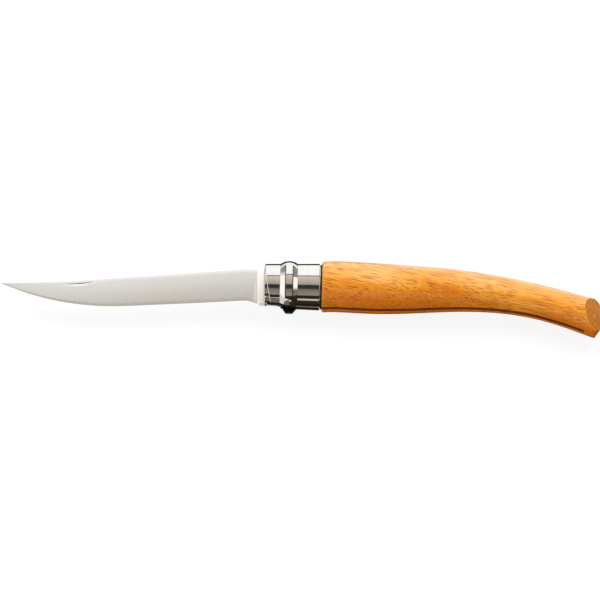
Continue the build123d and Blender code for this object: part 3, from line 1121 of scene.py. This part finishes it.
class KNIFE_OT_make_handle(bpy.types.Operator):
    """Make the bent wooden handle with its blade slot, slanting butt faces and tenon"""

    bl_idname = "knife.make_handle"
    bl_label = "Make Handle"

    def execute(self, context):
        settings = context.scene.knife_handle
        mesh = bmesh.new()
        add_solid(mesh, handle_columns(settings.lip_rounding))
        for side in (1, -1):
            self.cut_butt(mesh, from_pivot(butt_ridge, 0, 0), Vector((1, 0, side * butt_slant)))
        self.cut_butt(mesh, from_pivot(butt_ridge, chin_height, 0), Vector((1, -1, 0)))
        for side in (1, -1):
            add_solid(mesh, tenon_columns(side))
        wood = beech(settings)
        ends = end_grain(settings)
        # Painted shade: dark bare wood for the slot's inner walls and the tenon, in place of the shade
        # inside them
        sawn = bare_wood_painted_shade("slot_wood_painted_shade", settings.slot_shade_colour)
        tenon = bare_wood_painted_shade("tenon_wood_painted_shade", settings.tenon_shade_colour)
        handle = finish_mesh(mesh, "beech_handle", wood, others=(ends, sawn, tenon))
        self.colour_faces(handle)
        soften_edges(handle, settings.butt_softening, segments=3, angle=25)
        settle(handle, "handle", "handle")
        return {"FINISHED"}

    def cut_butt(self, mesh, place, direction):
        """Cuts one slanting face of the butt, through a place and square to a direction, and closes it."""
        cut = bmesh.ops.bisect_plane(
            mesh, geom=mesh.verts[:] + mesh.edges[:] + mesh.faces[:], dist=least_edge,
            plane_co=place, plane_no=direction, clear_outer=True,
        )
        edges = [part for part in cut["geom_cut"] if isinstance(part, bmesh.types.BMEdge)]
        bmesh.ops.holes_fill(mesh, edges=edges, sides=0)

    def colour_faces(self, handle):
        """Gives the butt's two cut faces their end grain, and the slot's inner walls and the tenon their
        dark bare wood as painted shade.
        """
        slope = 1 / hypot(1, butt_slant)
        for face in handle.data.polygons:
            along, upward, across = face.center - pivot
            slanting = abs(face.normal.x - slope) < butt_face_margin
            if slanting and abs(face.normal.y) < butt_face_tilt:
                face.material_index = butt_finish
            # Painted shade: faces in front of the wood's shoulder, on the tenon, get the near-black bare
            # wood
            elif along < ferrule_back:
                face.material_index = tenon_shade_finish
            elif self.is_in_slot_shade(along, upward, across):
                face.material_index = slot_shade_finish

    def is_in_slot_shade(self, along, upward, across):
        """True for a place on the slot's walls or roof, above its lit lips, where the slot's painted shade
        goes.
        """
        share = min(1.0, (along - ferrule_back) / (handle_end - ferrule_back))
        drop_share, height_share, _ = curve_rows(handle_rows_share, [share])[0]
        underside = -drop_share * handle_bend - height_share * shoulder_radius
        within_walls = abs(across) < slot_half_width + wall_margin
        return within_walls and underside + slot_lit_depth < upward < slot_roof(along) + slot_lit_depth


# Collar

def input_values(modifier, tree, values):
    """Sets a node tree's named inputs on its modifier."""
    for item in tree.interface.items_tree:
        if item.item_type == "SOCKET" and item.in_out == "INPUT" and item.name in values:
            modifier[item.identifier] = values[item.name]


def new_shape_tree(name, inputs):
    """An empty geometry tree with named inputs, and the sockets that it is given and hands out."""
    tree = bpy.data.node_groups.new(name, "GeometryNodeTree")
    for label, kind in inputs:
        tree.interface.new_socket(label, in_out="INPUT", socket_type=kind)
    tree.interface.new_socket("Geometry", in_out="OUTPUT", socket_type="NodeSocketGeometry")
    return tree, tree.nodes.new("NodeGroupInput").outputs, tree.nodes.new("NodeGroupOutput").inputs


def combined(tree, **parts):
    """The socket of a vector with X, Y and Z parts."""
    return add_node(tree, "ShaderNodeCombineXYZ", parts).outputs[0]


def joined(tree, *shapes):
    """The socket of several shapes as one."""
    node = add_node(tree, "GeometryNodeJoinGeometry")
    for shape in shapes:
        tree.links.new(shape, node.inputs[0])
    return node.outputs[0]


def finish_tree(tree, shape, material, output):
    """Ends a geometry tree: makes its instances real, sets their material and hands the shape out."""
    real = add_node(tree, "GeometryNodeRealizeInstances", {"Geometry": shape}).outputs[0]
    painted = add_node(tree, "GeometryNodeSetMaterial", {"Geometry": real, "Material": material})
    tree.links.new(painted.outputs[0], output["Geometry"])


def shape_from(tree, name, values, material):
    """A plain mesh object made by a geometry tree."""
    piece = bpy.data.objects.new(name, bpy.data.meshes.new(name))
    bpy.context.scene.collection.objects.link(piece)
    modifier = piece.modifiers.new(name, "NODES")
    modifier.node_group = tree
    input_values(modifier, tree, {**values, "Material": material})
    bpy.context.view_layer.update()
    return make_plain(piece)


def rolled_tube_tree():
    """Geometry tree of a tapered tube rolled from sheet, open along a slot below."""
    number = "NodeSocketFloat"
    tree, given, output = new_shape_tree("rolled_tube", [
        ("Front", number), ("Back", number), ("Radius", number), ("Taper", number), ("Slot Width", number),
        ("Steps Along", "NodeSocketInt"), ("Steps Around", "NodeSocketInt"), ("Centre", "NodeSocketVector"),
        ("Material", "NodeSocketMaterial"),
    ])
    sheet = add_node(tree, "GeometryNodeMeshGrid", {
        "Size X": 1.0, "Size Y": 1.0,
        "Vertices X": given["Steps Along"], "Vertices Y": given["Steps Around"],
    }).outputs["Mesh"]
    place = parts_of(tree, add_node(tree, "GeometryNodeInputPosition").outputs[0])
    length = maths(tree, "ADD", given["Front"], given["Back"])
    share_along = maths(tree, "ADD", place["X"], 0.5)
    along = maths(tree, "SUBTRACT", maths(tree, "MULTIPLY", length, share_along), given["Front"])
    radius = maths(tree, "MULTIPLY_ADD", along, given["Taper"], given["Radius"])
    half_slot = maths(tree, "DIVIDE", given["Slot Width"], 2.0)
    gap = maths(tree, "ARCSINE", maths(tree, "DIVIDE", half_slot, given["Radius"]))
    sweep = maths(tree, "MULTIPLY_ADD", gap, -2.0, 2 * pi)
    share_around = maths(tree, "ADD", place["Y"], 0.5)
    turn = maths(tree, "MULTIPLY_ADD", sweep, share_around, gap)
    across = maths(tree, "MULTIPLY", radius, maths(tree, "SINE", turn))
    upward = maths(tree, "MULTIPLY", maths(tree, "MULTIPLY", radius, -1.0), maths(tree, "COSINE", turn))
    placed = vector_maths(tree, "ADD", combined(tree, X=along, Y=upward, Z=across), given["Centre"])
    rolled = add_node(tree, "GeometryNodeSetPosition", {"Geometry": sheet, "Position": placed})
    finish_tree(tree, rolled.outputs[0], given["Material"], output)
    return tree


class KNIFE_OT_make_ferrule(bpy.types.Operator):
    """Make the fixed ferrule from a rolled sheet with softened edges, and the near-black back rim that
    paints the shadow behind the ring
    """

    bl_idname = "knife.make_ferrule"
    bl_label = "Make Ferrule"

    def execute(self, context):
        settings = context.scene.knife_collar
        steel = polished_steel("ferrule_polished_steel", settings.steel_colour, settings.roughness)
        tree = rolled_tube_tree()
        edge = settings.sheet_edge
        self.roll_tube(tree, "rolled_ferrule", ferrule_front, ferrule_radius, ferrule_steps, steel, edge)
        # Painted shadow: the back rim's near-black colour stands in for the shadow in the gap between the
        # ring and the wood
        dark = bare_wood_painted_shade("ferrule_rim_painted_shadow", settings.joint_shadow_colour)
        edge *= rim_edge_share
        self.roll_tube(tree, "ferrule_back_shadow_rim", -rim_front, rim_radius, rim_steps, dark, edge)
        return {"FINISHED"}

    def roll_tube(self, tree, name, front, radius, steps, material, edge):
        """One tube of the ferrule, from a place in front of the pivot back to the wood."""
        tube = shape_from(tree, name, {
            "Front": front, "Back": ferrule_back, "Radius": radius, "Taper": collar_taper,
            "Slot Width": ferrule_slot_width, "Steps Along": steps, "Steps Around": tube_steps_around,
            "Centre": tuple(pivot),
        }, material)
        face = tube.data.polygons[0]
        outwards = face.center - pivot
        outwards.x = 0
        wall = tube.modifiers.new("wall", "SOLIDIFY")
        wall.thickness = ferrule_wall
        wall.offset = -1.0 if face.normal.dot(outwards) > 0 else 1.0
        make_plain(tube)
        soften_edges(tube, edge, segments=2, angle=50)
        settle(tube, "fixed_ferrule", "handle")


def bead_height(reach, half_width, height, raised):
    """Height of the bead's sheet at a distance from its middle: an arc that turns into a steeper lug."""
    arc_radius = (half_width ** 2 + height ** 2) / (2 * height)
    arc = sqrt(arc_radius ** 2 - reach ** 2) - arc_radius + height
    rise = min(1.0, (half_width - abs(reach)) / (half_width - lug_top_width / 2))
    lug = height * rise ** 2 * (3 - 2 * rise)
    sheet = arc + (lug - arc) * raised
    return sqrt(sheet ** 2 + bead_fillet ** 2) - bead_fillet


def bead_line(base_radius, front, half_width, height, raised):
    """A line over the bead along one side of the ring's sheet, from front to back."""
    points = []
    for turn in evenly(pi, 0.0, bead_steps):
        reach = half_width * cos(turn)
        along = bead_middle + reach
        if along < bead_middle:
            along = bead_middle + reach * min(1.0, (front - edge_margin + bead_middle) / half_width)
        base = base_radius + along * collar_taper
        points.append((along, base + bead_height(reach, half_width, height, raised)))
    return points


def ring_front_at(turn):
    """Distance in front of the pivot where the ring's slanting front and its notch end it."""
    front = ramp_middle - ramp_rise * ring_radius * cos(radians(turn - ramp_turn))
    across = abs(ring_radius * sin(radians(turn - notch_middle)))
    if across < notch_half_width and cos(radians(turn - notch_middle)) > 0:
        corner = max(0.0, across - notch_half_width + notch_rounding)
        front = min(front, notch_back + notch_rounding - sqrt(notch_rounding ** 2 - corner ** 2))
    return min(front, ring_front)


def lug_radius_at(turn):
    """Radius of the bead's top, raised to the thumb lug beside the slot."""
    behind = radians(ring_slot_end - turn)
    if behind > radians(lug_reach):
        return bead_radius
    round_lug = lug_radius - lug_shift
    return max(bead_radius, lug_shift * cos(behind) + sqrt(round_lug ** 2 - (lug_shift * sin(behind)) ** 2))


def ring_column(turn, edge):
    """One closed section of the ring's sheet, on both its sides, with its front and back edges rounded."""
    height = lug_radius_at(turn) - ring_radius
    raised = (lug_radius_at(turn) - bead_radius) / (lug_radius - bead_radius)
    inset = ring_wall * height / bead_half_width
    front = ring_front_at(turn)
    outer = bead_line(ring_radius, front, bead_half_width, height, raised)
    inner = bead_line(ring_inner_radius, front, bead_half_width - inset, height, raised)
    section = sheet_end(-front, -front + edge_margin, edge)[::-1] + outer
    section += sheet_end(ring_back, ring_back - edge_margin, edge) + inner[::-1]
    upward = -cos(radians(turn))
    across = sin(radians(turn))
    return [from_pivot(along, radius * upward, radius * across) for along, radius in section]


def sheet_end(along, inside, edge):
    """The rounded end of the ring's sheet, from its outer to its inner side."""
    low = ring_inner_radius + along * collar_taper
    high = ring_radius + along * collar_taper
    return rounded([(inside, high), (along, high), (along, low), (inside, low)], edge, sheet_end_steps)


class KNIFE_OT_make_ring(bpy.types.Operator):
    """Make the locking ring with its hollow bead, thumb lug, slot, slanting front and notch"""

    bl_idname = "knife.make_ring"
    bl_label = "Make Locking Ring"

    def execute(self, context):
        settings = context.scene.knife_collar
        notch_turn = notch_middle - degrees(asin(notch_half_width / ring_radius))
        turns = evenly(ring_slot_start - 360, notch_turn - notch_corner, ring_steps)
        turns += evenly(notch_turn + notch_corner, ring_slot_end, ring_steps_past_notch)
        mesh = bmesh.new()
        add_solid(mesh, [ring_column(turn, settings.sheet_edge) for turn in turns], sheared_finish)
        steel = polished_steel("ring_polished_steel", settings.steel_colour, settings.roughness)
        dull = settings.roughness * sheared_roughness
        sheared = polished_steel("ring_sheared_edge", settings.sheared_colour, dull)
        ring = finish_mesh(mesh, "locking_ring_shell", steel, others=(sheared,))
        settle(ring, "locking_ring", "ring")
        return {"FINISHED"}


def rivet_tree():
    """Geometry tree of a rivet: one shaft, and a domed head set on each end."""
    number = "NodeSocketFloat"
    tree, given, output = new_shape_tree("headed_rivet", [
        ("Shaft Radius", number), ("Head Radius", number), ("Seat", number), ("Edge Height", number),
        ("Dome Height", number), ("Sides", "NodeSocketInt"), ("Centre", "NodeSocketVector"),
        ("Material", "NodeSocketMaterial"),
    ])
    shaft = add_node(tree, "GeometryNodeMeshCylinder", {
        "Vertices": given["Sides"], "Radius": given["Shaft Radius"],
        "Depth": maths(tree, "MULTIPLY", given["Seat"], 2.0),
    })
    rim = add_node(tree, "GeometryNodeMeshCylinder", {
        "Vertices": given["Sides"], "Radius": given["Head Radius"], "Depth": given["Edge Height"],
    })
    dome = add_node(tree, "GeometryNodeMeshUVSphere", {
        "Segments": given["Sides"], "Rings": maths(tree, "DIVIDE", given["Sides"], 2.0), "Radius": 1.0,
    })
    shaped = add_node(tree, "GeometryNodeTransform", {
        "Geometry": dome.outputs["Mesh"],
        "Scale": combined(tree, X=given["Head Radius"], Y=given["Head Radius"], Z=given["Dome Height"]),
        "Translation": combined(tree, Z=maths(tree, "DIVIDE", given["Edge Height"], 2.0)),
    })
    head = joined(tree, rim.outputs["Mesh"], shaped.outputs[0])
    out = maths(tree, "MULTIPLY_ADD", given["Edge Height"], 0.5, given["Seat"])
    ends = add_node(tree, "GeometryNodeMeshLine", {
        "Count": 2, "Start Location": combined(tree, Z=out),
        "Offset": combined(tree, Z=maths(tree, "MULTIPLY", out, -2.0)),
    })
    index = add_node(tree, "GeometryNodeInputIndex").outputs[0]
    heads = add_node(tree, "GeometryNodeInstanceOnPoints", {
        "Points": ends.outputs["Mesh"], "Instance": head,
        "Rotation": combined(tree, X=maths(tree, "MULTIPLY", index, pi)),
    })
    rivet = joined(tree, shaft.outputs["Mesh"], heads.outputs["Instances"])
    placed = add_node(tree, "GeometryNodeTransform", {"Geometry": rivet, "Translation": given["Centre"]})
    finish_tree(tree, placed.outputs[0], given["Material"], output)
    return tree


class KNIFE_OT_make_rivet(bpy.types.Operator):
    """Make the pivot rivet with its two domed heads"""

    bl_idname = "knife.make_rivet"
    bl_label = "Make Pivot Rivet"

    def execute(self, context):
        settings = context.scene.knife_collar
        steel = polished_steel("rivet_polished_steel", settings.steel_colour, settings.roughness)
        rivet = shape_from(rivet_tree(), "headed_rivet", {
            "Shaft Radius": rivet_radius, "Head Radius": rivet_head_radius, "Seat": rivet_seat,
            "Edge Height": rivet_head_edge, "Dome Height": rivet_dome_height, "Sides": rivet_sides,
            "Centre": tuple(pivot),
        }, steel)
        settle(rivet, "pivot_rivet", "handle")
        return {"FINISHED"}


# Stage

def banded(tree, value, reach, bands):
    """Colours of a list of bands, by a value that runs from minus to plus its reach."""
    share = maths(tree, "MULTIPLY_ADD", value, 0.5 / reach, 0.5)
    places, colours = zip(*bands)
    return add_ramp(tree, share, [0.5 + 0.5 * place / reach for place in places], colours)


def glowing(tree, kind, colour, strength=1.0):
    """Shader socket of a plain light of a colour and strength."""
    return add_node(tree, kind, {"Color": colour, "Strength": strength}).outputs[0]


def mixed_shader(tree, factor, first, second):
    """Shader socket of the first shader where a factor is 0, and of the second where it is 1."""
    return add_node(tree, "ShaderNodeMixShader", {0: factor, 1: first, 2: second}).outputs[0]


def room_colours(tree):
    """The studio's boxes and flags as metal reflects them, by where a face leans."""
    direction = add_node(tree, "ShaderNodeTexCoord").outputs["Generated"]
    front = (0, -sin(picture_lean), cos(picture_lean))
    middle = vector_maths(tree, "NORMALIZE", vector_maths(tree, "ADD", direction, front))
    lean = parts_of(tree, middle)
    face_turn = maths(tree, "ARCTAN2", maths(tree, "MULTIPLY", lean["Y"], -1.0), lean["Z"])
    turn = maths(tree, "MULTIPLY_ADD", face_turn, 2.0, -picture_lean)
    square, left, right = (
        banded(tree, turn, pi, [(radians(place), colour) for place, colour in bands])
        for bands in (front_bands, left_bands, right_bands)
    )
    on_left = step_up(tree, maths(tree, "MULTIPLY", lean["X"], -1.0), side_start, side_fade)
    on_right = step_up(tree, lean["X"], side_start, side_fade)
    room = mixed(tree, on_right, mixed(tree, on_left, square, left), right)
    lines = banded(tree, lean["X"], 1.0, [(place, shaded(white, level)) for place, level in side_lines])
    return vector_maths(tree, "MULTIPLY", room, lines)


def studio_world(scene):
    """Plain even light, white to the camera, with the studio's boxes and flags in what metal reflects."""
    world = bpy.data.worlds.new("studio")
    scene.world = world
    world.use_nodes = True
    tree = world.node_tree
    tree.nodes.clear()
    reflected = glowing(tree, "ShaderNodeBackground", room_colours(tree))
    ambient = glowing(tree, "ShaderNodeBackground", opaque(white), ambient_light)
    backdrop = glowing(tree, "ShaderNodeBackground", opaque(white))
    rays = add_node(tree, "ShaderNodeLightPath").outputs
    lit = mixed_shader(tree, rays["Is Glossy Ray"], ambient, reflected)
    seen = mixed_shader(tree, rays["Is Camera Ray"], lit, backdrop)
    add_node(tree, "ShaderNodeOutputWorld", {"Surface": seen})


def add_lamp(name, place, size, power):
    """A soft rectangular lamp above the knife, aimed at the pivot."""
    lamp = bpy.data.lights.new(name, "AREA")
    lamp.shape = "RECTANGLE"
    lamp.size, lamp.size_y = size
    lamp.energy = power
    holder = bpy.data.objects.new(name, lamp)
    holder.location = place
    holder.rotation_euler = (pivot - Vector(place)).to_track_quat("-Z", "Y").to_euler()
    holder.visible_glossy = False
    bpy.context.scene.collection.objects.link(holder)


class KNIFE_OT_make_stage(bpy.types.Operator):
    """Make the pale floor, the soft studio light and the camera at the picture's angle"""

    bl_idname = "knife.make_stage"
    bl_label = "Make Stage"

    def execute(self, context):
        settings = context.scene.knife_stage
        self.floor(settings)
        studio_world(context.scene)
        add_lamp("key_lamp", key_place, key_size, key_power)
        add_lamp("fill_lamp", fill_place, fill_size, fill_power)
        self.camera(context.scene, settings)
        context.scene.view_settings.view_transform = "Standard"
        return {"FINISHED"}

    def floor(self, settings):
        """A wide plain floor that keeps the knife's shadow and is white to the camera elsewhere."""
        mesh = bmesh.new()
        bmesh.ops.create_grid(mesh, x_segments=1, y_segments=1, size=floor_reach)
        material, tree, shader, coordinates = new_material("pale_floor")
        set_inputs(tree, shader, {
            "Base Color": opaque(settings.floor_bounce), "Roughness": 1.0, "Specular IOR Level": 0.0,
        })
        grey = opaque(shaded(white, floor_shade))
        shade = add_node(tree, "ShaderNodeBsdfDiffuse", {"Color": grey}).outputs[0]
        lift = glowing(tree, "ShaderNodeEmission", opaque(white), floor_lift)
        pale = add_node(tree, "ShaderNodeAddShader", {0: shade, 1: lift}).outputs[0]
        flags = glowing(tree, "ShaderNodeEmission", self.floor_flags(tree, coordinates))
        rays = add_node(tree, "ShaderNodeLightPath").outputs
        plain = mixed_shader(tree, rays["Is Camera Ray"], shader.outputs[0], pale)
        seen = mixed_shader(tree, rays["Is Glossy Ray"], plain, flags)
        set_inputs(tree, tree.nodes["Material Output"], {"Surface": seen})
        finish_mesh(mesh, "pale_floor", material)

    def floor_flags(self, tree, coordinates):
        """Colours of the floor as steel and lacquer reflect it: light by the blade, dark by the wood."""
        place = parts_of(tree, vector_maths(tree, "ADD", coordinates, tuple(-pivot)))
        left, right, wood, flank = (
            banded(tree, place["Y"], floor_span / 2, bands)
            for bands in (left_floor, right_floor, wood_floor, flank_floor)
        )
        beside, sideways = (maths(tree, "ABSOLUTE", place[axis]) for axis in "XY")
        collar = mixed(tree, step_up(tree, place["X"], *right_half), left, right)
        spread = maths(tree, "MULTIPLY", sideways, blade_side_spread)
        ahead = maths(tree, "ADD", place["X"], maths(tree, "MINIMUM", spread, blade_side_reach))
        past_blade = step_up(tree, ahead, *blade_side)
        past_collar = maths(tree, "MULTIPLY_ADD", sideways, -wood_side_spread, place["X"])
        whole = mixed(tree, past_blade, opaque(floor_by_blade), collar)
        whole = mixed(tree, step_up(tree, past_collar, *wood_side), whole, wood)
        near = maths(tree, "SUBTRACT", 1.0, step_up(tree, beside, *flank_end))
        on_flank = maths(tree, "MULTIPLY", near, step_up(tree, beside, *flank_start))
        behind = maths(tree, "MULTIPLY", on_flank, step_up(tree, place["Y"], *back_half))
        return mixed(tree, behind, whole, flank)

    def camera(self, scene, settings):
        """The camera, level with the picture's roll and centred as the picture is."""
        lean = settings.camera_lean
        back = Vector((0, -sin(lean), cos(lean)))
        upward = Vector((0, cos(lean), sin(lean)))
        along = Vector((1, 0, 0))
        right = along * cos(settings.camera_roll) + upward * sin(settings.camera_roll)
        top = upward * cos(settings.camera_roll) - along * sin(settings.camera_roll)
        aim = pivot + along * settings.aim_along - upward * settings.aim_below
        data = bpy.data.cameras.new("camera")
        data.lens = settings.lens
        distance = settings.picture_width * data.lens / data.sensor_width
        data.clip_end = 2 * distance
        camera = bpy.data.objects.new("camera", data)
        turned = Matrix((right, top, back)).transposed().to_4x4()
        camera.matrix_world = Matrix.Translation(aim + back * distance) @ turned
        scene.collection.objects.link(camera)
        scene.camera = camera


class KNIFE_PT_pieces(bpy.types.Panel):
    """Lists the knife's pieces and their settings"""

    bl_idname = "KNIFE_PT_pieces"
    bl_label = "Folding Fillet Knife"
    bl_space_type = "VIEW_3D"
    bl_region_type = "UI"
    bl_category = "Fillet Knife"

    def draw(self, context):
        for group, operators in panel_rows:
            box = self.layout.box()
            settings = getattr(context.scene, group)
            for name in settings.__annotations__:
                box.prop(settings, name)
            for operator in operators:
                box.operator(operator.bl_idname)


panel_rows = [
    ("knife_blade", [KNIFE_OT_make_blade]),
    ("knife_handle", [KNIFE_OT_make_handle]),
    ("knife_collar", [KNIFE_OT_make_ferrule, KNIFE_OT_make_ring, KNIFE_OT_make_rivet]),
    ("knife_stage", [KNIFE_OT_make_stage]),
]
setting_groups = {
    "knife_blade": KnifeBladeSettings,
    "knife_handle": KnifeHandleSettings,
    "knife_collar": KnifeCollarSettings,
    "knife_stage": KnifeStageSettings,
}
other_classes = [operator for _, operators in panel_rows for operator in operators] + [KNIFE_PT_pieces]


def register():
    """Adds the settings, the operators and the panel to Blender."""
    for name, group in setting_groups.items():
        bpy.utils.register_class(group)
        setattr(bpy.types.Scene, name, bpy.props.PointerProperty(type=group))
    for added in other_classes:
        bpy.utils.register_class(added)


def unregister():
    """Takes them out again, in the opposite order."""
    for added in reversed(other_classes):
        bpy.utils.unregister_class(added)
    for name, group in reversed(setting_groups.items()):
        delattr(bpy.types.Scene, name)
        bpy.utils.unregister_class(group)


def main():
    """Makes every piece and the stage."""
    register()
    bpy.ops.knife.make_blade()
    bpy.ops.knife.make_handle()
    bpy.ops.knife.make_ferrule()
    bpy.ops.knife.make_ring()
    bpy.ops.knife.make_rivet()
    bpy.ops.knife.make_stage()


if __name__ == "__main__":
    main()
